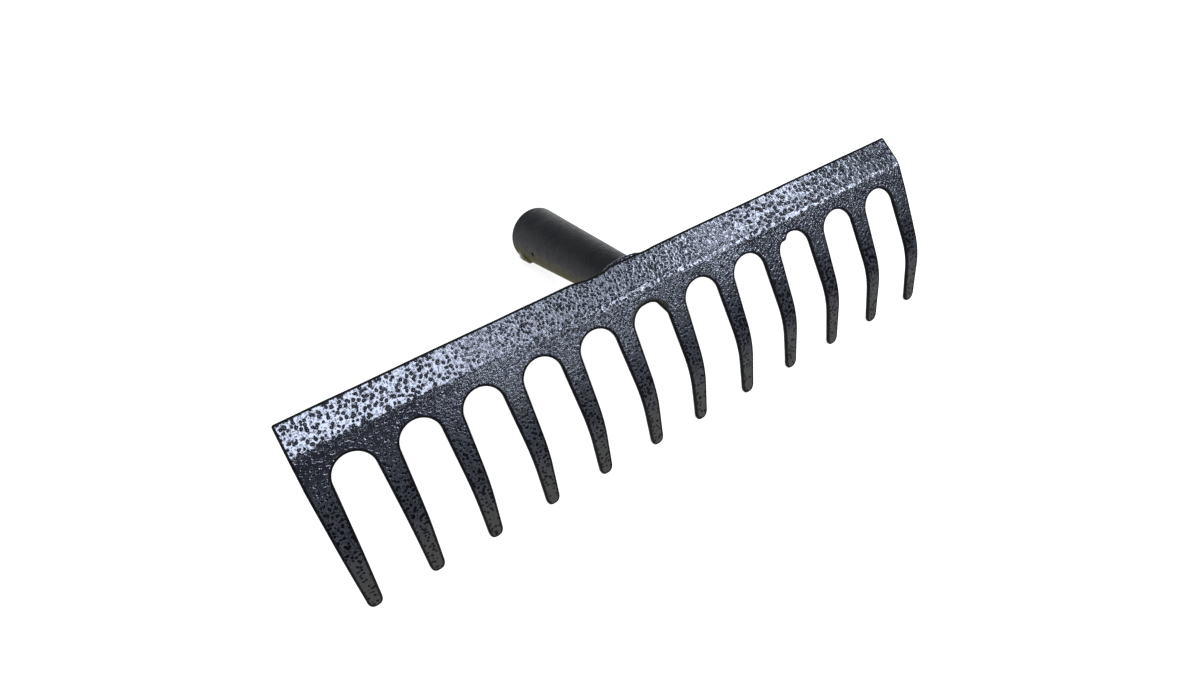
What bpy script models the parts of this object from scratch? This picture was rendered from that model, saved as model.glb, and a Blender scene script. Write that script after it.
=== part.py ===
"""Steel rake head: a stamped and bent comb of twelve tines welded on to a tapered handle socket.

Metres, +Z up, +X along the bar, socket towards +Y.  The head rests on its tine tips and on the low
edge of the socket's mouth.  The origin is the centre of the bottom of the bounding box.
"""
import math

import bmesh
import bpy
from mathutils import Matrix, Vector

MM = 0.001
GAP = 0.3 * MM            # clearance left between neighbouring pieces

# stamped sheet, measured along the flat blank from the flange's back edge
SHEET_T = 1.7 * MM
TINES = 12
PITCH = 29.0 * MM
BAR_W = 330.2 * MM
BLANK_LEN = 95.4 * MM
SLOT_TOP = 23.4 * MM
SLOT_R = 9.3 * MM
TIP_HALF = 3.45 * MM
TIP_ROUND = 5.8 * MM
END_TAPER_FROM = 31.0 * MM
CORNER_R = 1.2 * MM

# bends, as (middle of the bend along the blank, radius of the outer face, angle)
BEND_AT, BEND_R, BEND_DEG = 15.7 * MM, 3.5 * MM, 24.7
HOOK_AT, HOOK_R, HOOK_DEG = 63.9 * MM, 46.0 * MM, 23.6

# socket, measured from the flange's back edge along the socket's axis
SOCKET_DEG = 49.6         # between the flange and the socket's axis
SOCKET_LEN = 94.2 * MM
SOCKET_MOUTH_OD = 30.0 * MM
SOCKET_BACK_OD = 22.6 * MM
SOCKET_DROP = 3.4 * MM    # outer face of the flange to the top of the socket, at the back edge
SOCKET_WALL = 1.6 * MM
SOCKET_RUN_IN = 26.0 * MM  # length under the head before the foot is coped
PRESS_FROM, PRESS_TO, PRESS_RISE = 6.0 * MM, -13.0 * MM, 4.9 * MM  # foot's lower half, pressed in

# fixing hole by the mouth, on the -X side
HOLE_R = 2.5 * MM
HOLE_FROM_MOUTH = 6.6 * MM
HOLE_BELOW_SIDE_DEG = 32.0
COLLAR_R = 4.3 * MM
COLLAR_H = 1.5 * MM

WELD_TOP_R = 2.3 * MM
WELD_LOW_R = 2.6 * MM

for old in list(bpy.data.objects):
    bpy.data.objects.remove(old, do_unlink=True)

parts = bpy.data.collections.new("rake_head_assembly")
cutters = bpy.data.collections.new("cutters")
bpy.context.scene.collection.children.link(parts)
bpy.context.scene.collection.children.link(cutters)


def paint(name, colour, rough, metallic):
    mat = bpy.data.materials.new(name)
    mat.use_nodes = True
    shader = mat.node_tree.nodes["Principled BSDF"]
    shader.inputs["Base Color"].default_value = (*colour, 1.0)
    shader.inputs["Roughness"].default_value = rough
    shader.inputs["Metallic"].default_value = metallic
    return mat


HAMMERTONE = paint("hammertone_paint", (0.13, 0.145, 0.18), 0.35, 0.4)
SOCKET_PAINT = paint("socket_paint", (0.07, 0.075, 0.085), 0.4, 0.3)


def link(obj, cutter=False):
    if cutter:
        cutters.objects.link(obj)
        obj.hide_render = True
        obj.display_type = "WIRE"
    else:
        parts.objects.link(obj)
    return obj


def to_mesh(obj, name, cutter=False):
    """Turn a curve object, or one with modifiers, into a plain welded mesh object."""
    bpy.context.view_layer.update()
    graph = bpy.context.evaluated_depsgraph_get()
    mesh = bpy.data.meshes.new_from_object(obj.evaluated_get(graph), depsgraph=graph)
    mesh.transform(obj.matrix_world)
    bpy.data.objects.remove(obj, do_unlink=True)
    bm = bmesh.new()
    bm.from_mesh(mesh)
    bmesh.ops.remove_doubles(bm, verts=bm.verts, dist=1e-6)
    bmesh.ops.recalc_face_normals(bm, faces=bm.faces)
    bm.to_mesh(mesh)
    bm.free()
    mesh.name = name
    return link(bpy.data.objects.new(name, mesh), cutter)


def flat_curve(name, points, half_depth):
    """A closed outline, filled and given a depth of half_depth to each side of its own plane."""
    data = bpy.data.curves.new(name, "CURVE")
    data.dimensions = "2D"
    data.fill_mode = "BOTH"
    data.extrude = half_depth
    spline = data.splines.new("POLY")
    spline.points.add(len(points) - 1)
    for slot, (a, b) in zip(spline.points, points):
        slot.co = (a, b, 0.0, 1.0)
    spline.use_cyclic_u = True
    obj = bpy.data.objects.new(name, data)
    bpy.context.scene.collection.objects.link(obj)
    return obj


def prism_along_x(name, points_yz, half_x):
    """A prism whose section is points_yz, centred on x = 0; a cutter."""
    obj = flat_curve(name, points_yz, half_x)
    obj.matrix_world = Matrix(((0, 0, 1, 0), (1, 0, 0, 0), (0, 1, 0, 0), (0, 0, 0, 1)))
    return to_mesh(obj, name, cutter=True)


def cut(obj, tool, operation="DIFFERENCE"):
    mod = obj.modifiers.new("cut", "BOOLEAN")
    mod.operation = operation
    mod.solver = "EXACT"
    mod.object = tool
    name = obj.name
    in_cutters = obj.name in cutters.objects
    out = to_mesh(obj, name + "_cut", in_cutters)
    out.name = name
    return out


def smooth(obj, degrees):
    """Shade round faces smooth and keep edges sharper than the given angle."""
    mesh = obj.data
    bm = bmesh.new()
    bm.from_mesh(mesh)
    limit = math.radians(degrees)
    for face in bm.faces:
        face.smooth = True
    for edge in bm.edges:
        edge.smooth = len(edge.link_faces) == 2 and edge.calc_face_angle() < limit
    bm.to_mesh(mesh)
    bm.free()


# ---------------------------------------------------------------- the bent sheet's section
def heading(s):
    """Angle of the sheet below the flange, at s along the blank."""
    total = 0.0
    for at, radius, degrees in ((BEND_AT, BEND_R, BEND_DEG), (HOOK_AT, HOOK_R, HOOK_DEG)):
        arc = radius * math.radians(degrees)
        total += math.radians(degrees) * min(max((s - at + arc / 2) / arc, 0.0), 1.0)
    return total


def stations():
    """Places along the blank where the section turns, ends included."""
    out = [0.0]
    for at, radius, degrees, steps in ((BEND_AT, BEND_R, BEND_DEG, 5), (HOOK_AT, HOOK_R, HOOK_DEG, 8)):
        arc = radius * math.radians(degrees)
        out += [at - arc / 2 + arc * i / steps for i in range(steps + 1)]
    return out + [BLANK_LEN]


def section():
    """Outer-face points (y, z) and outward normals of the bent sheet at every station."""
    cuts = stations()
    at, place = 0.0, Vector((0.0, 0.0))
    points, normals = [], []
    for target in cuts:
        steps = 40
        for i in range(steps):
            h = heading(at + (target - at) * (i + 0.5) / steps)
            place = place + Vector((-math.cos(h), -math.sin(h))) * (target - at) / steps
        at = target
        h = heading(target)
        points.append(place.copy())
        normals.append(Vector((-math.sin(h), math.cos(h))))
    return cuts, points, normals


CUTS, FACE, NORMAL = section()


def bent(s, w):
    """(y, z) of a point of the blank at s along it and w above its outer face."""
    i = 0
    while i < len(CUTS) - 2 and s > CUTS[i + 1]:
        i += 1
    u = (s - CUTS[i]) / (CUTS[i + 1] - CUTS[i])
    low = FACE[i] + NORMAL[i] * w
    high = FACE[i + 1] + NORMAL[i + 1] * w
    return low.lerp(high, u)


# ---------------------------------------------------------------- the flat blank's outline
def tine_x(k):
    return (k - (TINES - 1) / 2) * PITCH


def tip_round(xc, steps=10):
    """Round end of a tine, from its +X side to its -X side."""
    root = BLANK_LEN - TIP_ROUND
    out = []
    for i in range(steps + 1):
        a = math.pi * i / steps
        side = math.copysign(abs(math.cos(a)) ** 0.75, math.cos(a))
        out.append((xc + TIP_HALF * side, root + TIP_ROUND * abs(math.sin(a)) ** 0.75))
    return out


def corner(cx, cy, a0, steps=5):
    return [(cx + CORNER_R * math.cos(math.radians(a0 + 90 * i / steps)),
             cy + CORNER_R * math.sin(math.radians(a0 + 90 * i / steps))) for i in range(steps + 1)]


def blank_outline():
    half = BAR_W / 2
    pts = corner(-half + CORNER_R, CORNER_R, 180) + corner(half - CORNER_R, CORNER_R, 270)
    pts.append((half, END_TAPER_FROM))
    for k in reversed(range(TINES)):
        pts += tip_round(tine_x(k))
        if k:
            middle = tine_x(k) - PITCH / 2
            centre = SLOT_TOP + SLOT_R
            arc = [math.pi * i / 18 for i in range(19)]
            pts += [(middle + SLOT_R * math.cos(a), centre - SLOT_R * math.sin(a)) for a in arc]
    pts.append((-half, END_TAPER_FROM))
    return pts


def build_head():
    blank = to_mesh(flat_curve("rake_head", blank_outline(), SHEET_T / 2), "rake_head")
    bm = bmesh.new()
    bm.from_mesh(blank.data)
    bmesh.ops.triangulate(bm, faces=bm.faces)
    for s in CUTS[1:-1]:
        everything = bm.verts[:] + bm.edges[:] + bm.faces[:]
        bmesh.ops.bisect_plane(bm, geom=everything, dist=1e-7, plane_co=(0, s, 0), plane_no=(0, 1, 0))
    for vert in bm.verts:
        y, z = bent(vert.co.y, vert.co.z - SHEET_T / 2)
        vert.co = (vert.co.x, y, z)
    bmesh.ops.reverse_faces(bm, faces=bm.faces)
    bm.to_mesh(blank.data)
    bm.free()
    return blank


# ---------------------------------------------------------------- the socket
AXIS = Vector((0.0, math.cos(math.radians(SOCKET_DEG)), -math.sin(math.radians(SOCKET_DEG))))
ABOVE = Vector((0.0, math.sin(math.radians(SOCKET_DEG)), math.cos(math.radians(SOCKET_DEG))))
BACK = Vector((0.0, 0.0, -SOCKET_DROP)) - ABOVE * SOCKET_BACK_OD / 2
TAPER = (SOCKET_MOUTH_OD - SOCKET_BACK_OD) / 2 / SOCKET_LEN
SOCKET_MATRIX = Matrix((
    (-1.0, ABOVE.x, AXIS.x, BACK.x),
    (0.0, ABOVE.y, AXIS.y, BACK.y),
    (0.0, ABOVE.z, AXIS.z, BACK.z),
    (0.0, 0.0, 0.0, 1.0)))


def socket_r(d):
    """Outer radius of the socket at d along its axis from the back edge."""
    return SOCKET_BACK_OD / 2 + TAPER * d


def rise(d):
    """How far the lowest line of the socket is pressed in at d."""
    u = min(max((PRESS_FROM - d) / (PRESS_FROM - PRESS_TO), 0.0), 1.4)
    return PRESS_RISE * u * u * (3 - 2 * u) if u < 1 else PRESS_RISE


def turned(name, profile, steps, cutter=False, ring=True):
    """Turn a (radius, height) outline about the socket's axis and press its foot in from below."""
    mesh = bpy.data.meshes.new(name)
    verts = [(r, 0.0, h) for r, h in profile]
    edges = [(i, i + 1) for i in range(len(verts) - 1)]
    if ring:
        edges.append((len(verts) - 1, 0))
    mesh.from_pydata(verts, edges, [])
    obj = bpy.data.objects.new(name, mesh)
    bpy.context.scene.collection.objects.link(obj)
    mod = obj.modifiers.new("turn", "SCREW")
    mod.steps = steps
    mod.render_steps = steps
    mod.use_merge_vertices = True
    mod.merge_threshold = 0.00001
    obj = to_mesh(obj, name, cutter)
    for vert in obj.data.vertices:
        away = math.hypot(vert.co.x, vert.co.y)
        if vert.co.y < 0 and away > 0:
            vert.co.y += rise(vert.co.z) * -vert.co.y / away
    obj.data.transform(SOCKET_MATRIX)
    return obj


def ring_places(low, high):
    """Places along the axis from high to low, close together where the foot is pressed."""
    foot = [PRESS_FROM - 2 * MM * i for i in range(13)]
    return [high] + [d for d in foot if low < d < high] + [low]


def socket_solid(name, extra, low, high):
    """The socket's outer shape as a solid, grown by extra; a cutter."""
    side = [(socket_r(d) + extra, d) for d in ring_places(low, high)]
    return turned(name, [(0.0, high)] + side + [(0.0, low)], 72, cutter=True, ring=False)


def radial_cylinder(name, radius, inner, outer, segments, tip_radius=None):
    """A cylinder standing on the socket's wall at the fixing hole; a cutter."""
    d = SOCKET_LEN - HOLE_FROM_MOUTH
    bm = bmesh.new()
    bmesh.ops.create_cone(bm, cap_ends=True, segments=segments, radius1=radius,
                          radius2=tip_radius or radius, depth=outer - inner)
    mesh = bpy.data.meshes.new(name)
    bm.to_mesh(mesh)
    bm.free()
    tilt = math.radians(-HOLE_BELOW_SIDE_DEG)
    stand = Matrix.Rotation(math.pi / 2, 4, "Y")
    turn = Matrix.Rotation(tilt, 4, "Z")
    rise = Matrix.Translation((0, 0, (inner + outer) / 2))
    mesh.transform(SOCKET_MATRIX @ Matrix.Translation((0, 0, d)) @ turn @ stand @ rise)
    return link(bpy.data.objects.new(name, mesh), True)


def build_socket():
    low, high, edge = -SOCKET_RUN_IN, SOCKET_LEN, 0.25 * MM
    places = ring_places(low, high - edge)
    profile = [(socket_r(high) - SOCKET_WALL + edge, high), (socket_r(high) - edge, high)]
    profile += [(socket_r(d), d) for d in places]
    profile += [(socket_r(d) - SOCKET_WALL, d) for d in reversed(places)]
    socket = turned("handle_socket", profile, 72)
    wall = socket_r(SOCKET_LEN - HOLE_FROM_MOUTH)
    collar = radial_cylinder("collar", COLLAR_R, wall - 0.9 * MM, wall + COLLAR_H, 32, HOLE_R + 0.8 * MM)
    socket = cut(socket, collar, "UNION")
    socket = cut(socket, radial_cylinder("fixing_hole", HOLE_R, wall - 6 * MM, wall + 6 * MM, 24))
    reach = [i * 5.0 * MM for i in range(13)]
    under = [bent(max(s, 0.0), -(SHEET_T + GAP)) for s in sorted(set(reach + CUTS[1:7]))]
    over = [bent(60.0 * MM, 60.0 * MM), bent(0.0, 60.0 * MM)]
    first = under[0] + Vector((0.002, 0.0))
    edge_of_flange = over[1] + Vector((0.002, 0.0))
    section_pts = [tuple(first)] + [tuple(p) for p in under] + [tuple(over[0]), tuple(edge_of_flange)]
    return cut(socket, prism_along_x("cope", section_pts, 0.05))


# ---------------------------------------------------------------- weld beads
def sheet_block(name, half_x):
    """The sheet's section without its slots, grown by the gap on every side; a cutter."""
    reach = [0.0] + CUTS[1:7] + [60.0 * MM]
    top = [bent(s, GAP) for s in reach]
    under = [bent(s, -(SHEET_T + GAP)) for s in reversed(reach)]
    top[0] = top[0] + Vector((GAP, 0.0))
    under[-1] = under[-1] + Vector((GAP, 0.0))
    return prism_along_x(name, [tuple(p) for p in top + under], half_x)


def bead(name, path, radii):
    """A rope of weld metal along path, thick as radii says."""
    data = bpy.data.curves.new(name, "CURVE")
    data.dimensions = "3D"
    data.bevel_depth = 1.0
    data.bevel_resolution = 4
    data.use_fill_caps = True
    data.twist_mode = "MINIMUM"
    spline = data.splines.new("POLY")
    spline.points.add(len(path) - 1)
    for slot, co, radius in zip(spline.points, path, radii):
        slot.co = (*co, 1.0)
        slot.radius = radius
    obj = bpy.data.objects.new(name, data)
    bpy.context.scene.collection.objects.link(obj)
    return to_mesh(obj, name)


def foot_point(angle):
    """Where the socket's outer face, at angle from its top, meets the sheet's under side."""
    low, high = -24.0 * MM, 10.0 * MM
    for _ in range(50):
        d = (low + high) / 2
        r = socket_r(d)
        lift = rise(d) * max(-math.cos(angle), 0.0)
        p = BACK + AXIS * d + ABOVE * (r * math.cos(angle) + lift) + Vector((r * math.sin(angle), 0, 0))
        if height_under(p) > 0:
            high = d
        else:
            low = d
    return p


def height_under(p):
    """Distance of p below the sheet's under side, negative inside or above the sheet."""
    best = None
    reach = [0.0] + CUTS[1:7] + [60.0 * MM]
    for a, b in zip(reach, reach[1:]):
        pa, pb = bent(a, -SHEET_T), bent(b, -SHEET_T)
        along = (pb - pa).normalized()
        q = Vector((p.y, p.z)) - pa
        t = min(max(q.dot(along), 0.0), (pb - pa).length)
        foot = pa + along * t
        off = Vector((p.y, p.z)) - foot
        out = Vector((along.y, -along.x))
        side = off.dot(out)
        dist = off.length if side < 0 else -off.length
        if best is None or abs(dist) < abs(best):
            best = dist
    return best


def build_weld_top():
    path, radii = [], []
    count = 16
    for i in range(count + 1):
        u = -1 + 2 * i / count
        x = 13.0 * MM * u
        y = 0.5 * MM - 2.6 * MM * u * u
        z = -1.7 * MM - 1.9 * MM * u * u
        path.append((x, y, z))
        swell = 1 + 0.07 * math.sin(9 * u)
        radii.append(WELD_TOP_R * swell * (1 - 0.45 * abs(u) ** 4))
    weld = bead("weld_top", path, radii)
    weld = cut(weld, sheet_block("sheet_for_top_weld", 0.05))
    return cut(weld, socket_solid("socket_for_top_weld", GAP, -25 * MM, 60 * MM))


def build_weld_bottom():
    path, radii = [], []
    count = 36
    for i in range(count + 1):
        angle = math.radians(72 + (288 - 72) * i / count)
        p = foot_point(angle)
        path.append(tuple(p))
        radii.append(WELD_LOW_R * (1 + 0.05 * math.sin(i * 1.9)))
    weld = bead("weld_bottom", path, radii)
    weld = cut(weld, sheet_block("sheet_for_low_weld", 0.05))
    return cut(weld, socket_solid("socket_for_low_weld", GAP, -25 * MM, 60 * MM))


def keep_largest(obj):
    """Drop the slivers a cut leaves behind."""
    bm = bmesh.new()
    bm.from_mesh(obj.data)
    left, groups = set(bm.verts), []
    while left:
        stack, group = [left.pop()], []
        while stack:
            v = stack.pop()
            group.append(v)
            for e in v.link_edges:
                other = e.other_vert(v)
                if other in left:
                    left.remove(other)
                    stack.append(other)
        groups.append(group)
    groups.sort(key=len)
    for group in groups[:-1]:
        bmesh.ops.delete(bm, geom=group, context="VERTS")
    bm.to_mesh(obj.data)
    bm.free()


head = build_head()
socket = build_socket()
weld_top = build_weld_top()
weld_bottom = build_weld_bottom()
keep_largest(weld_top)
keep_largest(weld_bottom)
pieces = [head, socket, weld_top, weld_bottom]

# ---------------------------------------------------------------- lay it down on tips and mouth
tip = bent(BLANK_LEN, -SHEET_T)
mouth = BACK + AXIS * (SOCKET_LEN - 0.25 * MM) - ABOVE * socket_r(SOCKET_LEN - 0.25 * MM)
tilt = -math.atan2(mouth.z - tip.y, mouth.y - tip.x)
lay = Matrix.Rotation(tilt, 4, "X")
for obj in pieces + list(cutters.objects):
    obj.data.transform(lay)
corners = [v.co for obj in pieces for v in obj.data.vertices]
low_z = min(c.z for c in corners)
mid_y = (min(c.y for c in corners) + max(c.y for c in corners)) / 2
for obj in pieces + list(cutters.objects):
    obj.data.transform(Matrix.Translation((0, -mid_y, -low_z)))

for obj, mat, angle in ((head, HAMMERTONE, 20), (socket, SOCKET_PAINT, 30),
                        (weld_top, HAMMERTONE, 45), (weld_bottom, HAMMERTONE, 45)):
    obj.data.materials.clear()
    obj.data.materials.append(mat)
    smooth(obj, angle)
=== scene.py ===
import math

import bmesh
import bpy
from mathutils import Matrix, Vector, noise


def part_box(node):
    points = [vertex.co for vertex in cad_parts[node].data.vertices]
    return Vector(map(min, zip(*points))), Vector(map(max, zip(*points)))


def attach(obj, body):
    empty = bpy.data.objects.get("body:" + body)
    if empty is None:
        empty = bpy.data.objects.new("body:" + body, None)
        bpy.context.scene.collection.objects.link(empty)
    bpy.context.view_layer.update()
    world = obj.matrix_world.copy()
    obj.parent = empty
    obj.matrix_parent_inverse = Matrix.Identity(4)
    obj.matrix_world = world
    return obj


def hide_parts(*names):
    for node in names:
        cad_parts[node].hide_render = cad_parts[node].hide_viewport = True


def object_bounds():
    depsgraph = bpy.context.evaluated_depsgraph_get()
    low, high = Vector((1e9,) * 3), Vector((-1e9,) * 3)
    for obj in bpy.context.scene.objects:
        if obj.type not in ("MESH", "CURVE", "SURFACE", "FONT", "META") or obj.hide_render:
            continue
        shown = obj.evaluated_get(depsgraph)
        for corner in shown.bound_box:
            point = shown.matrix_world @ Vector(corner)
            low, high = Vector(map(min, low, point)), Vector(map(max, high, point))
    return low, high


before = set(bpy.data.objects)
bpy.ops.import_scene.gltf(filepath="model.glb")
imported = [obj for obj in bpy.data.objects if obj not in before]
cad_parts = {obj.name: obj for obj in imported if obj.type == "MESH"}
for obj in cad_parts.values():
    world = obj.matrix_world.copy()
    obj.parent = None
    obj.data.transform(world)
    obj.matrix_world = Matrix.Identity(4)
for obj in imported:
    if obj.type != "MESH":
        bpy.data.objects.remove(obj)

CAD_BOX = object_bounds()
MM = 0.001

# ------------------------------------------------------------------ camera, fitted to the outline
CAMERA_AT = (-0.156434, -0.205798, 0.356025)
CAMERA_TURN_DEG = (35.3327, -2.9221, -33.2267)
CAMERA_LENS_MM = 24.7735

# ------------------------------------------------------------------ sizes, as in the CAD part
# (only the bend differs: it is as sharp as the CAD's at the -X end, and softer towards +X)
SHEET_T = 1.7 * MM
TINES = 12
PITCH = 29.0 * MM
BAR_W = 330.2 * MM
BLANK_LEN = 95.4 * MM
SLOT_TOP = 23.4 * MM
SLOT_R = 9.3 * MM
TIP_HALF = 3.45 * MM
TIP_ROUND = 5.8 * MM
END_TAPER_FROM = 31.0 * MM
CORNER_R = 1.2 * MM
BEND_AT, BEND_SHARP, BEND_SOFT, BEND_DEG = 15.7 * MM, 3.5 * MM, 13.0 * MM, 24.7
HOOK_AT, HOOK_R, HOOK_DEG = 63.9 * MM, 46.0 * MM, 23.6
SOCKET_DEG = 49.6
SOCKET_LEN = 94.2 * MM
SOCKET_MOUTH_OD = 30.0 * MM
SOCKET_BACK_OD = 22.6 * MM
SOCKET_DROP = 3.4 * MM
SOCKET_WALL = 1.6 * MM
PRESS_FROM, PRESS_TO, PRESS_RISE = 6.0 * MM, -13.0 * MM, 4.9 * MM
HOLE_R = 2.5 * MM
HOLE_FROM_MOUTH = 6.6 * MM
HOLE_BELOW_SIDE_DEG = 32.0

MIDDLE_SLOT, RUN_SLOT = 6, 9      # the slots where the coat has run, named by the tine after them
EDGE_SHADE_BAND = 0.6 * MM              # width of the painted shade beside the cut edges
FINE = 0.1 * MM                   # step of the section's points

# how far each tine's tip leans sideways in mm, from the -X end; hand-set steel is never quite even
TIP_LEAN = [-0.4, -0.2, -0.4, 0.4, 0.6, 1.4, -0.9, 0.0, 0.0, 0.0, 0.0, -0.3]


# ------------------------------------------------------------------ the bent sheet's section
def heading(s, bend_r):
    """How far the sheet has turned down at s, the distance from its back edge."""
    total = 0.0
    for at, radius, degrees in ((BEND_AT, bend_r, BEND_DEG), (HOOK_AT, HOOK_R, HOOK_DEG)):
        arc = radius * math.radians(degrees)
        total += math.radians(degrees) * min(max((s - at + arc / 2) / arc, 0.0), 1.0)
    return total


def section_line(bend_r):
    """The section's outer face as points FINE apart, a little longer than the blank."""
    line = [Vector((0.0, 0.0))]
    for step in range(int(BLANK_LEN / FINE) + 20):
        turn = heading((step + 0.5) * FINE, bend_r)
        line.append(line[-1] + Vector((-math.cos(turn), -math.sin(turn))) * FINE)
    return line


SECTIONS = {bend_r: section_line(bend_r) for bend_r in (BEND_SHARP, BEND_SOFT)}


def bent(s, w, bend_r=BEND_SHARP):
    """(y, z) of the point of the blank at s along it and w above its outer face."""
    line = SECTIONS[bend_r]
    at = min(max(s / FINE, 0.0), len(line) - 2)
    i = int(at)
    place = line[i].lerp(line[i + 1], at - i)
    turn = heading(s, bend_r)
    return place + Vector((-math.sin(turn), math.cos(turn))) * w


AXIS = Vector((0.0, math.cos(math.radians(SOCKET_DEG)), -math.sin(math.radians(SOCKET_DEG))))
ABOVE = Vector((0.0, math.sin(math.radians(SOCKET_DEG)), math.cos(math.radians(SOCKET_DEG))))
BACK = Vector((0.0, 0.0, -SOCKET_DROP)) - ABOVE * SOCKET_BACK_OD / 2
TAPER = (SOCKET_MOUTH_OD - SOCKET_BACK_OD) / 2 / SOCKET_LEN


def socket_r(d):
    """The socket's outer radius at d along its axis from the head."""
    return SOCKET_BACK_OD / 2 + TAPER * d


# the flat flange's frame is laid down on the tips and the mouth, then set on the CAD head's box
RIM = SOCKET_LEN - 0.25 * MM
low_rim = BACK + AXIS * RIM - ABOVE * socket_r(RIM)
low_tip = bent(BLANK_LEN, -SHEET_T)
LAY = Matrix.Rotation(-math.atan2(low_rim.z - low_tip.y, low_rim.y - low_tip.x), 4, "X")
tip_out = LAY @ Vector((0.0, *bent(BLANK_LEN, 0.0)))
tip_in = LAY @ Vector((0.0, *low_tip))
head_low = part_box("rake_head")[0]
TO_WORLD = Matrix.Translation((0.0, head_low.y - tip_out.y, head_low.z - tip_in.z)) @ LAY


def on_socket(below_deg, from_mouth):
    """A point on the socket's outside, so many degrees below its -X side."""
    a, d = math.radians(below_deg), SOCKET_LEN - from_mouth
    out = Vector((-1.0, 0.0, 0.0)) * math.cos(a) - ABOVE * math.sin(a)
    return TO_WORLD @ (BACK + AXIS * d + out * socket_r(d))


def smoothstep(a, b, x):
    """0 at a and beyond, 1 at b and beyond, eased between; a may be the larger one."""
    u = min(max((x - a) / (b - a), 0.0), 1.0)
    return u * u * (3 - 2 * u)


# ------------------------------------------------------------------ node helpers
class Nodes:
    """A new material, with short calls for the nodes that feed its shader."""

    def __init__(self, name):
        self.mat = bpy.data.materials.new(name)
        self.mat.use_nodes = True
        self.tree = self.mat.node_tree
        self.shader = self.tree.nodes["Principled BSDF"]
        self.coord = self.node("ShaderNodeTexCoord").outputs["Object"]

    def node(self, kind):
        return self.tree.nodes.new(kind)

    def link(self, out, into):
        self.tree.links.new(out, into)

    def feed(self, value, socket):
        """Link an output to the socket, or set the socket to a number or a colour."""
        if isinstance(value, tuple):
            socket.default_value = (*value, 1.0)
        elif isinstance(value, (int, float)):
            socket.default_value = value
        else:
            self.link(value, socket)

    def set(self, key, value):
        """Feed one of the shader's own sockets."""
        self.feed(value, self.shader.inputs[key])

    def noise_node(self, scale, detail=2.0, rough=0.5):
        made = self.node("ShaderNodeTexNoise")
        made.inputs["Scale"].default_value = scale
        made.inputs["Detail"].default_value = detail
        made.inputs["Roughness"].default_value = rough
        self.link(self.coord, made.inputs["Vector"])
        return made

    def noise(self, scale, detail=2.0, rough=0.5):
        return self.noise_node(scale, detail, rough).outputs["Fac"]

    def cells(self, scale, vector, random=1.0):
        """Distance to the nearest of many scattered points, in units of 1 / scale."""
        made = self.node("ShaderNodeTexVoronoi")
        made.inputs["Scale"].default_value = scale
        made.inputs["Randomness"].default_value = random
        self.link(vector, made.inputs["Vector"])
        return made.outputs["Distance"]

    def profile(self, fac, stops):
        """A height read off (position, height) stops."""
        made = self.node("ShaderNodeValToRGB")
        ends = made.color_ramp.elements
        while len(ends) < len(stops):
            ends.new(0.5)
        for end, (at, value) in zip(ends, stops):
            end.position = at
            end.color = (value, value, value, 1.0)
        self.link(fac, made.inputs["Fac"])
        return made.outputs["Color"]

    def range(self, fac, a, b, c=0.0, d=1.0):
        """c at a, d at b, eased between."""
        made = self.node("ShaderNodeMapRange")
        made.interpolation_type = "SMOOTHSTEP"
        for key, value in (("From Min", a), ("From Max", b), ("To Min", c), ("To Max", d)):
            made.inputs[key].default_value = value
        self.link(fac, made.inputs["Value"])
        return made.outputs["Result"]

    def math(self, op, a, b):
        made = self.node("ShaderNodeMath")
        made.operation = op
        self.feed(a, made.inputs[0])
        self.feed(b, made.inputs[1])
        return made.outputs[0]

    def times(self, a, b):
        return self.math("MULTIPLY", a, b)

    def plus(self, a, b):
        return self.math("ADD", a, b)

    def mix(self, fac, a, b):
        made = self.node("ShaderNodeMix")
        made.data_type = "RGBA"
        for slot, value in ((0, fac), (6, a), (7, b)):
            self.feed(value, made.inputs[slot])
        return made.outputs[2]

    def distance(self, point):
        return self.vector_math("DISTANCE", point)

    def along(self, direction):
        """How far the surface point lies along a direction."""
        return self.vector_math("DOT_PRODUCT", direction)

    def vector_math(self, op, fixed):
        made = self.node("ShaderNodeVectorMath")
        made.operation = op
        made.inputs[1].default_value = fixed
        self.link(self.coord, made.inputs[0])
        return made.outputs["Value"]

    def warped(self, scale, by):
        """The coordinates shifted about by noise."""
        warp = self.noise_node(scale, 1.0)
        made = self.node("ShaderNodeVectorMath")
        made.operation = "MULTIPLY_ADD"
        self.link(warp.outputs["Color"], made.inputs[0])
        made.inputs[1].default_value = (by, by, by)
        self.link(self.coord, made.inputs[2])
        return made.outputs[0]

    def bump(self, height, distance, strength=1.0, normal=None):
        made = self.node("ShaderNodeBump")
        made.inputs["Strength"].default_value = strength
        made.inputs["Distance"].default_value = distance
        self.link(height, made.inputs["Height"])
        if normal is not None:
            self.link(normal, made.inputs["Normal"])
        return made.outputs["Normal"]


# ------------------------------------------------------------------ materials
# The hammered coat changes with the height above the floor, in metres: the flange lies above 0.066,
# the tines' hook between 0.038 and 0.022, and the tips below that. Noise and cell scales are per
# metre. The three lists below are profiles of a cell from its centre out, as (position, height).
CRATER = [(0.0, 0.85), (0.11, 0.55), (0.22, 0.0), (0.30, 0.05), (0.47, 1.0), (0.70, 0.88),
          (1.0, 0.75)]
DIMPLE = [(0.0, 0.0), (0.22, 0.2), (0.42, 1.0), (1.0, 0.8)]
POCK = [(0.0, 0.0), (0.30, 0.4), (0.50, 1.0), (1.0, 1.0)]

# the pits' colour on the next line is painted shade
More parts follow.
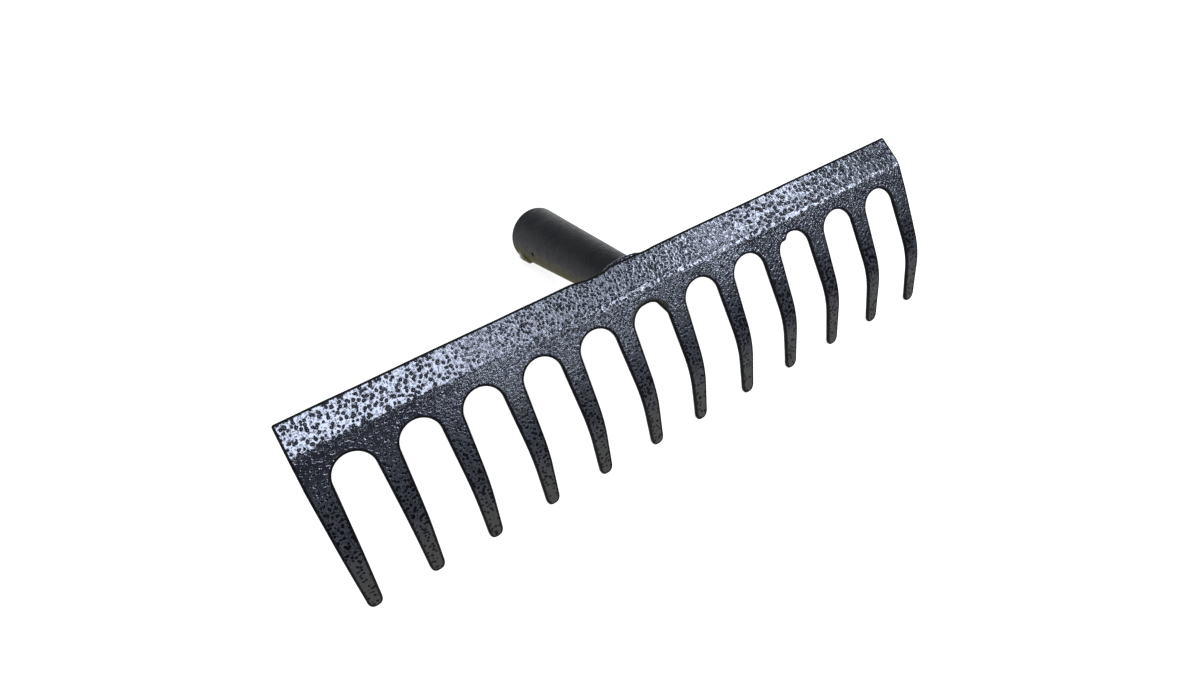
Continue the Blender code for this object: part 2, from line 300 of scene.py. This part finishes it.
PIT_DARK = (0.002, 0.002, 0.003)
PIGMENT_THIN, PIGMENT_FULL = (0.012, 0.013, 0.019), (0.021, 0.022, 0.030)
# the next line's colours paint shade in the tines' pits and glints on their rims
TINE_PIT_SHADE, TINE_RIM_GLINT = (0.003, 0.003, 0.005), (0.040, 0.043, 0.052)
TIP_DARK = (0.001, 0.001, 0.001)
TIP_LIGHT, TIP_LIGHT_FAR = (0.037, 0.037, 0.032), (0.027, 0.027, 0.024)      # FAR: at the +X end
BAND_OLIVE = (0.020, 0.020, 0.015)
SHINE_BLUE, SHINE_PLAIN = (0.76, 0.83, 1.0), (0.95, 0.97, 0.95)
# painted shade along the cut edges
EDGE_SHADE_DARK, EDGE_SHADE_LIGHT = (0.002, 0.002, 0.003), (0.008, 0.008, 0.009)
SOCKET_DARK, SOCKET_LIGHT = (0.007, 0.008, 0.012), (0.013, 0.014, 0.015)
# the second colour on the next line is a painted olive sheen for the socket's lower side
SOCKET_BLOTCH, SOCKET_OLIVE_SHEEN = (0.018, 0.018, 0.018), (0.066, 0.056, 0.006)
# the first colour on the next line is a painted highlight for the fixing hole's lip
LIP_HIGHLIGHT, SPOT_BLACK = (0.42, 0.42, 0.41), (0.001, 0.001, 0.001)
SPOT_FROM_MOUTH = 22.7 * MM


def crater_height(n, across, high, tines):
    """Round craters, 0 in the pits and 1 at the rims, over a finer net of dimples."""
    place = n.warped(420.0, 0.0012)
    # they are finer where the weld warmed the sheet, and coarser towards both ends and on the tines
    upper = n.range(high, 0.020, 0.050)
    left = n.math("MAXIMUM", n.times(n.range(across, -0.050, -0.100), upper), tines)
    right = n.times(n.range(across, 0.020, 0.070), upper)
    fine = n.profile(n.cells(700.0, place, 0.85), CRATER)
    coarse = n.profile(n.cells(540.0, place, 0.85), CRATER)
    wide = n.profile(n.cells(440.0, place, 0.90), CRATER)
    pit = n.mix(right, n.mix(left, fine, coarse), wide)
    dimple = n.profile(n.cells(1150.0, place), DIMPLE)
    return n.plus(n.times(pit, 0.80), n.times(dimple, 0.20))


def slot_band(n, high):
    """1 in the smooth, drawn-thin band round the top of the middle slot."""
    away = n.distance(TO_WORLD @ Vector((0.0, *bent(SLOT_TOP + SLOT_R, 0.0))))
    return n.times(n.range(away, SLOT_R + 2.2 * MM, SLOT_R + 1.7 * MM), n.range(high, 0.052, 0.056))


def hammer_colour(n, height, across, tines, tips, band):
    """The coat's colour, without its shine; its pits are painted dark as shade and the tines' rims
    light as glints.
    """
    # the pits are painted near black as shade; the rims keep the pigment's own uneven tone
    light = n.mix(n.range(n.noise(60.0, 3.0), 0.35, 0.68), PIGMENT_THIN, PIGMENT_FULL)
    base = n.mix(n.range(height, 0.20, 0.55), PIT_DARK, light)
    # on the tines the rims are painted light as glints and the pits dark as shade
    base = n.mix(tines, base, n.mix(n.range(height, 0.76, 0.97), TINE_PIT_SHADE, TINE_RIM_GLINT))
    # towards the tips the coat is thinner, greyer and more even, its pits still painted dark as
    # shade
    thin = n.mix(n.range(across, 0.030, 0.120), TIP_LIGHT, TIP_LIGHT_FAR)
    base = n.mix(n.times(tips, 0.92), base, n.mix(n.range(height, 0.35, 0.85), TIP_DARK, thin))
    return n.mix(band, base, BAND_OLIVE)


def hammer_relief(n, height, across, high, band):
    """The coat's bumps: craters over slow waves over fine grain, all flatter towards the tips."""
    strength = n.times(n.range(high, 0.032, 0.061, 0.30, 1.0), n.range(band, 0.0, 1.0, 1.0, 0.15))
    # the coat lies flatter below the bend, but for the part left of the middle
    outside = n.plus(n.range(across, -0.080, -0.110), n.range(across, -0.015, 0.015))
    calm = n.times(n.range(high, 0.066, 0.062), outside)
    strength = n.times(strength, n.range(calm, 0.0, 1.0, 1.0, 0.52))
    grain = n.bump(n.noise(2600.0), 0.00002, 0.6)
    wave = n.bump(n.times(n.noise(420.0), strength), 0.00016, 1.0, grain)
    return n.bump(n.times(height, strength), 0.00032, 1.0, wave)


def hammertone(name):
    """Dark blue-grey enamel, beaten-looking: round craters, their pits painted dark as shade, in a
    lighter silvery network.
    """
    n = Nodes(name)
    axes = n.node("ShaderNodeSeparateXYZ")
    n.link(n.coord, axes.inputs[0])
    across, high = axes.outputs["X"], axes.outputs["Z"]
    tines, tips = n.range(high, 0.060, 0.050), n.range(high, 0.040, 0.004)
    band = slot_band(n, high)
    height = crater_height(n, across, high, tines)
    n.set("Base Color", hammer_colour(n, height, across, tines, tips, band))
    n.set("Metallic", 0.08)
    n.set("IOR", 1.6)
    n.set("Specular Tint", n.mix(tips, SHINE_BLUE, SHINE_PLAIN))
    shine = n.times(n.range(high, 0.036, 0.064, 0.08, 1.0), n.range(height, 0.20, 0.58, 0.12, 1.0))
    n.set("Specular IOR Level", n.times(shine, n.range(band, 0.0, 1.0, 1.0, 0.25)))
    rims, dull = n.range(height, 0.2, 0.9, 0.28, 0.10), n.range(high, 0.036, 0.012, 0.0, 0.26)
    n.set("Roughness", n.plus(rims, dull))
    n.set("Normal", hammer_relief(n, height, across, high, band))
    return n.mat


def smooth_enamel(name):
    """The same enamel, thin and nearly smooth, with a painted olive sheen on the socket's lower
    side.
    """
    n = Nodes(name)
    base = n.mix(n.range(n.noise(60.0, 3.0), 0.42, 0.66), SOCKET_DARK, SOCKET_LIGHT)
    base = n.mix(n.range(n.noise(210.0, 3.0, 0.6), 0.35, 0.75, 0.0, 0.5), base, SOCKET_BLOTCH)
    up = TO_WORLD.to_3x3() @ ABOVE
    middle = up.dot(TO_WORLD @ BACK)
    # painted sheen: the socket's lower side is painted lighter and olive, and made rougher
    lower = n.range(n.along(up), middle + 4 * MM, middle - 5 * MM, 0.0, 0.8)
    base = n.mix(lower, base, SOCKET_OLIVE_SHEEN)
    # the lip of the fixing hole is painted light grey and metallic as a highlight, and there is a
    # dark spot on the side
    lip = n.distance(on_socket(HOLE_BELOW_SIDE_DEG, HOLE_FROM_MOUTH - 1.0 * MM))
    lip_highlight = n.times(n.range(lip, 5.2 * MM, 3.0 * MM), n.range(n.noise(420.0, 3.0), 0.30, 0.55))
    base = n.mix(lip_highlight, base, LIP_HIGHLIGHT)
    spot = n.range(n.distance(on_socket(0.0, SPOT_FROM_MOUTH)), 1.6 * MM, 1.0 * MM)
    n.set("Base Color", n.mix(spot, base, SPOT_BLACK))
    n.set("Metallic", n.range(lip_highlight, 0.0, 1.0, 0.05, 0.7))
    rough = n.range(n.noise(330.0, 3.0), 0.3, 0.7, 0.34, 0.46)
    n.set("Roughness", n.plus(rough, n.times(lower, 0.3)))
    n.set("Specular IOR Level", n.range(spot, 0.0, 1.0, 0.10, 0.0))
    peel = n.bump(n.noise(900.0), 0.00006, 0.6)
    n.set("Normal", n.bump(n.profile(n.cells(520.0, n.coord), POCK), 0.00007, 0.7, peel))
    return n.mat


def shaded_edge(name):
    """The cut edges and a thin band beside them, painted dark as shade."""
    n = Nodes(name)
    n.set("Base Color", n.mix(n.range(n.noise(500.0), 0.45, 0.8), EDGE_SHADE_DARK, EDGE_SHADE_LIGHT))
    n.set("Roughness", n.range(n.noise(260.0), 0.3, 0.7, 0.42, 0.6))
    n.set("Specular IOR Level", 0.06)
    n.set("Normal", n.bump(n.noise(1500.0), 0.00005, 0.6))
    return n.mat


HAMMER = hammertone("hammertone_enamel")
ENAMEL = smooth_enamel("socket_enamel")
EDGE = shaded_edge("edge_enamel")


def scene_object(name, data):
    obj = bpy.data.objects.new(name, data)
    bpy.context.scene.collection.objects.link(obj)
    return obj


def to_mesh(name, bm):
    mesh = bpy.data.meshes.new(name)
    bm.to_mesh(mesh)
    bm.free()
    return mesh


def evaluated_mesh(obj):
    """The object's mesh with its modifiers applied."""
    bpy.context.view_layer.update()
    graph = bpy.context.evaluated_depsgraph_get()
    return bpy.data.meshes.new_from_object(obj.evaluated_get(graph), depsgraph=graph)


def turn_outward(bm):
    bmesh.ops.recalc_face_normals(bm, faces=bm.faces)
    if bm.calc_volume(signed=True) < 0:
        bmesh.ops.reverse_faces(bm, faces=bm.faces)


def add(name, bm, mats, node):
    """Put a finished piece in the scene, on the body root, in place of its CAD node."""
    mesh = to_mesh(name, bm)
    for mat in mats:
        mesh.materials.append(mat)
    for face in mesh.polygons:
        face.use_smooth = True
    obj = scene_object(name, mesh)
    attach(obj, "root")
    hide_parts(node)
    return obj


# ------------------------------------------------------------------ the stamped head
ROLL_TOP, ROLL_UNDER = 0.55 * MM, 0.40 * MM      # rounding of the cut edges
SHEET_WAVE, EDGE_WAVE = 0.10 * MM, 0.15 * MM     # unevenness of the sheet and of its back edge
SOFTER_FROM, SOFTER_TO = -70 * MM, 10 * MM       # where along the head the bend grows softer


def tine_x(k):
    return (k - (TINES - 1) / 2) * PITCH


def tip_round(xc):
    """A tine's end: half of a squarish oval."""
    root, square, steps = BLANK_LEN - TIP_ROUND, 0.75, 18
    out = []
    for i in range(steps + 1):
        a = math.pi * i / steps
        side = math.copysign(abs(math.cos(a)) ** square, math.cos(a))
        out.append((xc + TIP_HALF * side, root + TIP_ROUND * abs(math.sin(a)) ** square))
    return out


def corner(cx, cy, from_deg):
    """A quarter circle about a centre."""
    steps = 7
    turns = [math.radians(from_deg + 90 * i / steps) for i in range(steps + 1)]
    return [(cx + CORNER_R * math.cos(a), cy + CORNER_R * math.sin(a)) for a in turns]


def slot_radius(k, degrees):
    """The round top of the slot below tine k, with the two places where the coat has run."""
    if k == MIDDLE_SLOT and 3 < degrees < 53:
        return SLOT_R * math.cos(math.radians(25)) / math.cos(math.radians(degrees - 28))
    if k == RUN_SLOT:
        return SLOT_R - 1.6 * MM * math.exp(-((degrees - 120) / 13) ** 2)
    return SLOT_R


def blank_outline():
    """The flat blank's outline as (x, s), with s from the back edge towards the tips."""
    half = BAR_W / 2
    pts = corner(-half + CORNER_R, CORNER_R, 180) + corner(half - CORNER_R, CORNER_R, 270)
    pts.append((half, END_TAPER_FROM))
    steps = 36
    for k in reversed(range(TINES)):
        pts += tip_round(tine_x(k))
        if k:
            middle, centre = tine_x(k) - PITCH / 2, SLOT_TOP + SLOT_R
            for i in range(steps + 1):
                a = math.pi * i / steps
                r = slot_radius(k, math.degrees(a))
                pts.append((middle + r * math.cos(a), centre - r * math.sin(a)))
    pts.append((-half, END_TAPER_FROM))
    return pts


def inset(pts, by):
    """The outline moved in by a small distance."""
    out = []
    count = len(pts)
    for i, p in enumerate(pts):
        a, b = Vector(pts[i - 1]), Vector(pts[(i + 1) % count])
        p = Vector(p)
        first, second = (p - a).normalized(), (b - p).normalized()
        n1, n2 = Vector((-first.y, first.x)), Vector((-second.y, second.x))
        mid = (n1 + n2).normalized()
        out.append(p + mid * by / max(mid.dot(n1), 0.5))
    return out


def lean(x, s):
    """How far the tine at x leans sideways at s."""
    k = min(max(round(x / PITCH + (TINES - 1) / 2), 0), TINES - 1)
    root = SLOT_TOP + 1.0 * MM
    u = max(s - root, 0.0) / (BLANK_LEN - root)
    return TIP_LEAN[k] * MM * u ** 1.4


def bite(x):
    """How far the heat of the weld has drawn the flange's back edge in, beside the tube."""
    left = smoothstep(-29 * MM, -20 * MM, x) * smoothstep(-7 * MM, -12 * MM, x)
    right = smoothstep(7 * MM, 10 * MM, x) * smoothstep(14 * MM, 11 * MM, x)
    return 1.2 * MM * left + 0.4 * MM * right


def edge_section():
    """(distance in from the outline, height) round the edge, from the top to the under face."""
    section = []
    for radius, top in ((ROLL_TOP, True), (ROLL_UNDER, False)):
        arc = [(radius + EDGE_SHADE_BAND, 0.0 if top else -SHEET_T)]
        for i in range(5):
            a = math.pi / 2 * i / 4
            gone, deep = radius * (1 - math.sin(a)), radius * (1 - math.cos(a))
            arc.append((gone, -deep if top else deep - SHEET_T))
        section += arc if top else arc[::-1]
    return section


def cut_across(bm, place, normal):
    geom = bm.verts[:] + bm.edges[:] + bm.faces[:]
    bmesh.ops.bisect_plane(bm, geom=geom, dist=1e-6, plane_co=place, plane_no=normal)


def flat_blank():
    """The blank as a flat plate, its rolled edges in the material of painted edge shade."""
    outline = blank_outline()
    bm = bmesh.new()
    rings = [[bm.verts.new((p.x, p.y, w)) for p in inset(outline, gone)]
             for gone, w in edge_section()]
    count = len(outline)
    for a, b in zip(rings, rings[1:]):
        for i in range(count):
            j = (i + 1) % count
            bm.faces.new((a[i], b[i], b[j], a[j])).material_index = 1
    caps = [bm.faces.new(rings[0]), bm.faces.new(rings[-1][::-1])]
    bm.normal_update()
    bmesh.ops.triangulate(bm, faces=caps, ngon_method="EAR_CLIP")
    return bm


def divide(bm):
    """Cut the plate into strips fine enough to bend: finest at the bend and at the hook."""
    places = [3.0 * MM * i for i in range(1, 32)]
    for at, radius, degrees, steps in ((BEND_AT, BEND_SOFT, BEND_DEG, 16),
                                       (HOOK_AT, HOOK_R, HOOK_DEG, 14)):
        arc = radius * math.radians(degrees)
        places += [at - arc / 2 + arc * i / steps for i in range(steps + 1)]
    for s in sorted(places):
        cut_across(bm, (0, s, 0), (0, 1, 0))
    for i in range(-40, 41):
        cut_across(bm, (i * 4.1 * MM, 0, 0), (1, 0, 0))


def build_head():
    bm = flat_blank()
    divide(bm)
    for vert in bm.verts:
        x, s, w = vert.co
        back_edge = smoothstep(8 * MM, 0.0, s)
        w += noise.noise(Vector((x * 28, s * 34, 3.1))) * SHEET_WAVE
        edge = noise.noise(Vector((x * 60, 9.0, 1.7))) * EDGE_WAVE * back_edge
        edge -= bite(x) * smoothstep(9 * MM, 0.0, s)
        y, z = bent(s, w).lerp(bent(s, w, BEND_SOFT), smoothstep(SOFTER_FROM, SOFTER_TO, x))
        vert.co = TO_WORLD @ Vector((x + lean(x, s), y + edge, z))
    turn_outward(bm)
    settle_normals(add("head_sheet", bm, (HAMMER, EDGE), "rake_head"))


def settle_normals(obj):
    """Weight the corner normals by face area, so that flat faces stay flat beside rolled edges."""
    mod = obj.modifiers.new("weighted", "WEIGHTED_NORMAL")
    mod.keep_sharp = False
    mod.weight = 70
    done = evaluated_mesh(obj)
    obj.modifiers.clear()
    old = obj.data
    obj.data = done
    bpy.data.meshes.remove(old)


# ------------------------------------------------------------------ the socket
RIM_R = 0.5 * MM                                 # rounding of the mouth's edge
COLLAR_RISE, COLLAR_DIP = 1.45 * MM, 0.35 * MM   # the lip round the fixing hole
LOW_END = -14.0 * MM                             # where the tube ends before it is coped

# the socket's own axes: X to the object's -X side, Y above the tube, Z along it to the mouth
SOCKET_MATRIX = Matrix((
    (-1.0, ABOVE.x, AXIS.x, BACK.x),
    (0.0, ABOVE.y, AXIS.y, BACK.y),
    (0.0, ABOVE.z, AXIS.z, BACK.z),
    (0.0, 0.0, 0.0, 1.0)))


def rise(d):
    """How far the foot's lower half is pressed up towards the sheet."""
    return PRESS_RISE * smoothstep(PRESS_FROM, PRESS_TO, d)


def collar(x, y, d):
    """Height of the punched lip round the fixing hole, from a point on the socket's outside."""
    side = math.radians(-HOLE_BELOW_SIDE_DEG)
    out = Vector((math.cos(side), math.sin(side)))
    here = Vector((x, y))
    if here.dot(out) < 0:
        return 0.0
    across = here.dot(Vector((-out.y, out.x)))
    r = math.hypot(across, d - (SOCKET_LEN - HOLE_FROM_MOUTH))
    outer, inner = smoothstep(4.7 * MM, 3.0 * MM, r), smoothstep(3.0 * MM, 2.3 * MM, r)
    return COLLAR_RISE * outer - COLLAR_DIP * inner


def socket_section():
    """(radius, distance from the head) round the wall: mouth, outside, end, inside."""
    steps = [SOCKET_LEN - RIM_R * (1 - math.cos(math.pi / 8 * i)) for i in range(1, 5)]
    along = [SOCKET_LEN - RIM_R - 0.55 * MM * i for i in range(1, 26)]
    rest = along[-1]
    along += [rest + (LOW_END - rest) * i / 60 for i in range(1, 61)]
    mouth_r = socket_r(SOCKET_LEN)
    outer = [(mouth_r - RIM_R * (1 - math.sin(math.pi / 8 * i)), d) for i, d in enumerate(steps, 1)]
    outer += [(socket_r(d), d) for d in along]
    inner = [(mouth_r - SOCKET_WALL + 0.35 * MM, SOCKET_LEN),
             (mouth_r - SOCKET_WALL + 0.08 * MM, SOCKET_LEN - 0.15 * MM)]
    inner += [(socket_r(d) - SOCKET_WALL, d) for d in along]
    return [(mouth_r - RIM_R, SOCKET_LEN)] + outer + inner[::-1]


def socket_point(r, d, a):
    """The wall's point at a radius, distance and angle, with the lip, swells and pressed foot."""
    x, y = r * math.cos(a), r * math.sin(a)
    swell = noise.noise(Vector((math.cos(a) * 1.3, math.sin(a) * 1.3, d * 22))) * 0.09 * MM
    grown = (r + collar(x, y, d) + swell) / r
    x, y = x * grown, y * grown
    if y < 0:
        y += rise(d) * -y / r
    return SOCKET_MATRIX @ Vector((x, y, d))


def build_socket():
    around = 180
    bm = bmesh.new()
    rows = [[bm.verts.new(socket_point(r, d, 2 * math.pi * i / around)) for i in range(around)]
            for r, d in socket_section()]
    for k in range(len(rows)):
        a, b = rows[k], rows[(k + 1) % len(rows)]
        for i in range(around):
            j = (i + 1) % around
            bm.faces.new((a[i], a[j], b[j], b[i]))
    turn_outward(bm)
    work = scene_object("socket_work", to_mesh("socket_work", bm))
    for tool in (hole_tool(), cope_tool()):
        mod = work.modifiers.new("cut", "BOOLEAN")
        mod.operation = "DIFFERENCE"
        mod.solver = "EXACT"
        mod.object = tool
        done = evaluated_mesh(work)
        work.modifiers.clear()
        work.data = done
        bpy.data.objects.remove(tool, do_unlink=True)
    bm = bmesh.new()
    bm.from_mesh(work.data)
    bmesh.ops.transform(bm, matrix=TO_WORLD, verts=bm.verts)
    bpy.data.objects.remove(work, do_unlink=True)
    obj = add("socket_tube", bm, (ENAMEL,), "handle_socket")
    for edge in obj.data.edges:
        edge.use_edge_sharp = False


def hole_tool():
    """A pin through the wall where the fixing hole goes."""
    bm = bmesh.new()
    bmesh.ops.create_cone(bm, cap_ends=True, segments=48, radius1=HOLE_R, radius2=HOLE_R,
                          depth=12 * MM)
    mesh = to_mesh("hole_tool", bm)
    d = SOCKET_LEN - HOLE_FROM_MOUTH
    mesh.transform(SOCKET_MATRIX @ Matrix.Translation((0, 0, d))
                   @ Matrix.Rotation(math.radians(-HOLE_BELOW_SIDE_DEG), 4, "Z")
                   @ Matrix.Rotation(math.pi / 2, 4, "Y")
                   @ Matrix.Translation((0, 0, socket_r(d))))
    return scene_object("hole_tool", mesh)


def cope_tool():
    """The space taken by the head: everything above the sheet's under side."""
    clear, behind, half, above = 0.25 * MM, Vector((2 * MM, 0.0)), 50 * MM, 50 * MM
    reach = [0.0, 5 * MM, 10 * MM] + [BEND_AT + (i - 4) * 0.25 * MM for i in range(9)]
    reach += [25 * MM, 45 * MM]
    under = [bent(s, -(SHEET_T + clear)) for s in reach]
    section = [under[0] + behind] + under + [bent(reach[-1], above), bent(0.0, above) + behind]
    bm = bmesh.new()
    ends = [[bm.verts.new((x, p.x, p.y)) for p in section] for x in (-half, half)]
    bm.faces.new(ends[0])
    bm.faces.new(ends[1][::-1])
    for i in range(len(section)):
        j = (i + 1) % len(section)
        bm.faces.new((ends[0][i], ends[1][i], ends[1][j], ends[0][j]))
    bmesh.ops.recalc_face_normals(bm, faces=bm.faces)
    return scene_object("cope_tool", to_mesh("cope_tool", bm))


# ------------------------------------------------------------------ weld beads
def bead(name, path, radii, node, seed):
    """A rope of weld metal with the scalloped ripples of a hand-run bead."""
    bm = bmesh.new()
    rows, around = [], 28
    count = len(path)
    for i, (centre, radius) in enumerate(zip(path, radii)):
        ahead = path[min(i + 1, count - 1)] - path[max(i - 1, 0)]
        ahead.normalize()
        side = ahead.cross(Vector((0, 0, 1))).normalized()
        up = side.cross(ahead)
        row = []
        for k in range(around):
            a = 2 * math.pi * k / around
            spot = side * math.cos(a) + up * math.sin(a)
            rough = noise.noise((centre + spot * radius) * 420 + Vector((seed, 0, 0))) * 0.16 * MM
            row.append(bm.verts.new(centre + spot * (radius + rough)))
        rows.append(row)
    for a, b in zip(rows, rows[1:]):
        for k in range(around):
            j = (k + 1) % around
            bm.faces.new((a[k], a[j], b[j], b[k]))
    for row, flip in ((rows[0], False), (rows[-1], True)):
        middle = bm.verts.new(sum((v.co for v in row), Vector()) / around)
        for k in range(around):
            j = (k + 1) % around
            bm.faces.new((middle, row[j], row[k]) if not flip else (middle, row[k], row[j]))
    bmesh.ops.recalc_face_normals(bm, faces=bm.faces)
    bmesh.ops.transform(bm, matrix=TO_WORLD, verts=bm.verts)
    add(name, bm, (HAMMER,), node)


def rippled(count, radius, ripples):
    """Radii along a bead: tapered at both ends, with so many ripples between."""
    end = 0.35
    out = []
    for i in range(count + 1):
        u = i / count
        ripple = abs(math.sin(math.pi * ripples * u)) ** 0.6
        taper = min(1.0, end + (1 - end) * min(u, 1 - u) * 9)
        out.append(radius * taper * (0.93 + 0.09 * ripple))
    return out


def build_weld_top():
    """The bead over the top of the tube, dropping away to both sides."""
    path, count = [], 120
    for i in range(count + 1):
        u = -1 + 2 * i / count
        sag = u * u
        path.append(Vector((12.2 * u, 0.15 - 2.2 * sag, -1.8 - 1.6 * sag)) * MM)
    bead("weld_bead_top", path, rippled(count, 1.5 * MM, 11), "weld_top", 4.0)


def under_gap(p):
    """Signed distance from a point to the sheet's under side; negative is inside the head."""
    best = None
    reach = [0.0, 14.5 * MM, 15.7 * MM, 17.0 * MM, 60 * MM]
    for a, b in zip(reach, reach[1:]):
        pa, pb = bent(a, -SHEET_T), bent(b, -SHEET_T)
        line = (pb - pa).normalized()
        q = Vector((p.y, p.z)) - pa
        t = min(max(q.dot(line), 0.0), (pb - pa).length)
        off = Vector((p.y, p.z)) - (pa + line * t)
        dist = off.length if off.dot(Vector((line.y, -line.x))) < 0 else -off.length
        if best is None or abs(dist) < abs(best):
            best = dist
    return best


def foot_point(angle):
    """Where the tube's line at this angle from its top meets the sheet's under side."""
    low, high = -24.0 * MM, 10.0 * MM
    for _ in range(40):
        d = (low + high) / 2
        r = socket_r(d)
        up = r * math.cos(angle) + rise(d) * max(-math.cos(angle), 0.0)
        p = BACK + AXIS * d + ABOVE * up + Vector((r * math.sin(angle), 0, 0))
        if under_gap(p) > 0:
            high = d
        else:
            low = d
    return p


def build_weld_bottom():
    """The bead round the foot, thinner at its lowest so that the middle slot stays clear."""
    count, from_deg, to_deg, thinner = 200, 76, 284, 0.45
    path = [foot_point(math.radians(from_deg + (to_deg - from_deg) * i / count))
            for i in range(count + 1)]
    low = [0.5 * (1 + math.cos(2 * math.pi * (i / count - 0.5))) for i in range(count + 1)]
    radii = [r * (1 - thinner * u ** 2) for r, u in zip(rippled(count, 2.1 * MM, 19), low)]
    bead("weld_bead_bottom", path, radii, "weld_bottom", 9.0)


build_head()
build_socket()
build_weld_top()
build_weld_bottom()


# ------------------------------------------------------------------ floor, light, camera
FLOOR_TONE, FLOOR_GLOW, FLOOR_HALF = 0.40, 0.88, 14.0
BELOW_TIPS = 0.2 * MM
DARK_SIDE, DARK = (0.30, -0.86, 0.30), (0.008, 0.009, 0.012)     # its direction and colour
ROOM, SEEN = (0.06, 0.063, 0.07), (0.93, 0.93, 0.93)             # as mirrored, as seen directly
COOL = (0.93, 0.96, 1.0)
# the ceiling light's parts, which the flange mirrors: (left, right, radiance)
OVERHEAD = [(-0.50, 0.08, 10.5), (0.08, 0.19, 8.2), (0.19, 0.32, 4.2), (0.32, 0.66, 1.2),
            (0.66, 0.92, 12.5), (0.92, 1.22, 0.3)]


def build_floor():
    """A pale light table that is lit from above and glows too, so that shadows stay faint."""
    mat = bpy.data.materials.new("pale_floor")
    mat.use_nodes = True
    shader = mat.node_tree.nodes["Principled BSDF"]
    shader.inputs["Base Color"].default_value = (FLOOR_TONE, FLOOR_TONE, FLOOR_TONE, 1.0)
    shader.inputs["Roughness"].default_value = 0.9
    shader.inputs["Specular IOR Level"].default_value = 0.1
    shader.inputs["Emission Color"].default_value = (1.0, 1.0, 1.0, 1.0)
    shader.inputs["Emission Strength"].default_value = FLOOR_GLOW
    bm = bmesh.new()
    bmesh.ops.create_grid(bm, x_segments=4, y_segments=4, size=FLOOR_HALF)
    mesh = to_mesh("floor", bm)
    mesh.materials.append(mat)
    obj = scene_object("floor", mesh)
    obj.location.z = CAD_BOX[0][2] - BELOW_TIPS


def area_light(name, at, aim, size, radiance):
    data = bpy.data.lights.new(name, "AREA")
    data.shape = "RECTANGLE"
    data.size, data.size_y = size
    data.energy = radiance * math.pi * size[0] * size[1]
    data.color = COOL
    obj = scene_object(name, data)
    obj.location = at
    obj.rotation_euler = (Vector(aim) - Vector(at)).to_track_quat("-Z", "Y").to_euler()


def build_lights():
    """Each light aims straight across X, so that its long side stays level."""
    for i, (left, right, radiance) in enumerate(OVERHEAD):
        middle = (left + right) / 2
        area_light(f"overhead_{i}", (middle, -0.21, 1.1), (middle, -0.10, 0.0),
                   (right - left, 0.42), radiance)
    # the highlights along the bend, and the one on the apron left of the middle
    area_light("front_strip", (0.90, -0.88, 1.1), (0.90, -0.50, 0.0), (0.95, 0.40), 10.5)
    area_light("bend_strip", (1.22, -1.23, 1.1), (1.22, -0.60, 0.0), (1.00, 0.36), 9.5)
    area_light("front_low", (0.33, -1.08, 0.68), (0.33, 0.0, 0.06), (0.34, 0.16), 7.0)


def build_world():
    """A dim room, darker in front, so that the glossy fronts of the tines stay dark."""
    world = bpy.data.worlds.new("studio")
    bpy.context.scene.world = world
    world.use_nodes = True
    tree = world.node_tree
    way = tree.nodes.new("ShaderNodeTexCoord").outputs["Generated"]
    dot = tree.nodes.new("ShaderNodeVectorMath")
    dot.operation = "DOT_PRODUCT"
    dot.inputs[1].default_value = Vector(DARK_SIDE).normalized()
    tree.links.new(way, dot.inputs[0])
    fade = tree.nodes.new("ShaderNodeValToRGB")
    low, high = fade.color_ramp.elements
    low.position, low.color = 0.62, (*ROOM, 1.0)
    high.position, high.color = 0.84, (*DARK, 1.0)
    tree.links.new(dot.outputs["Value"], fade.inputs["Fac"])
    # the camera sees a pale backdrop instead
    seen = tree.nodes.new("ShaderNodeMix")
    seen.data_type = "RGBA"
    seen.inputs[7].default_value = (*SEEN, 1.0)
    tree.links.new(tree.nodes.new("ShaderNodeLightPath").outputs["Is Camera Ray"], seen.inputs[0])
    tree.links.new(fade.outputs["Color"], seen.inputs[6])
    tree.links.new(seen.outputs[2], tree.nodes["Background"].inputs["Color"])


build_floor()
build_world()
build_lights()

camera = bpy.data.cameras.new("camera")
camera.lens = CAMERA_LENS_MM
camera.sensor_width = 36.0
camera.clip_start = 0.01
view = scene_object("camera", camera)
view.location = CAMERA_AT
view.rotation_euler = [math.radians(a) for a in CAMERA_TURN_DEG]
bpy.context.scene.camera = view
bpy.context.scene.view_settings.view_transform = "Standard"
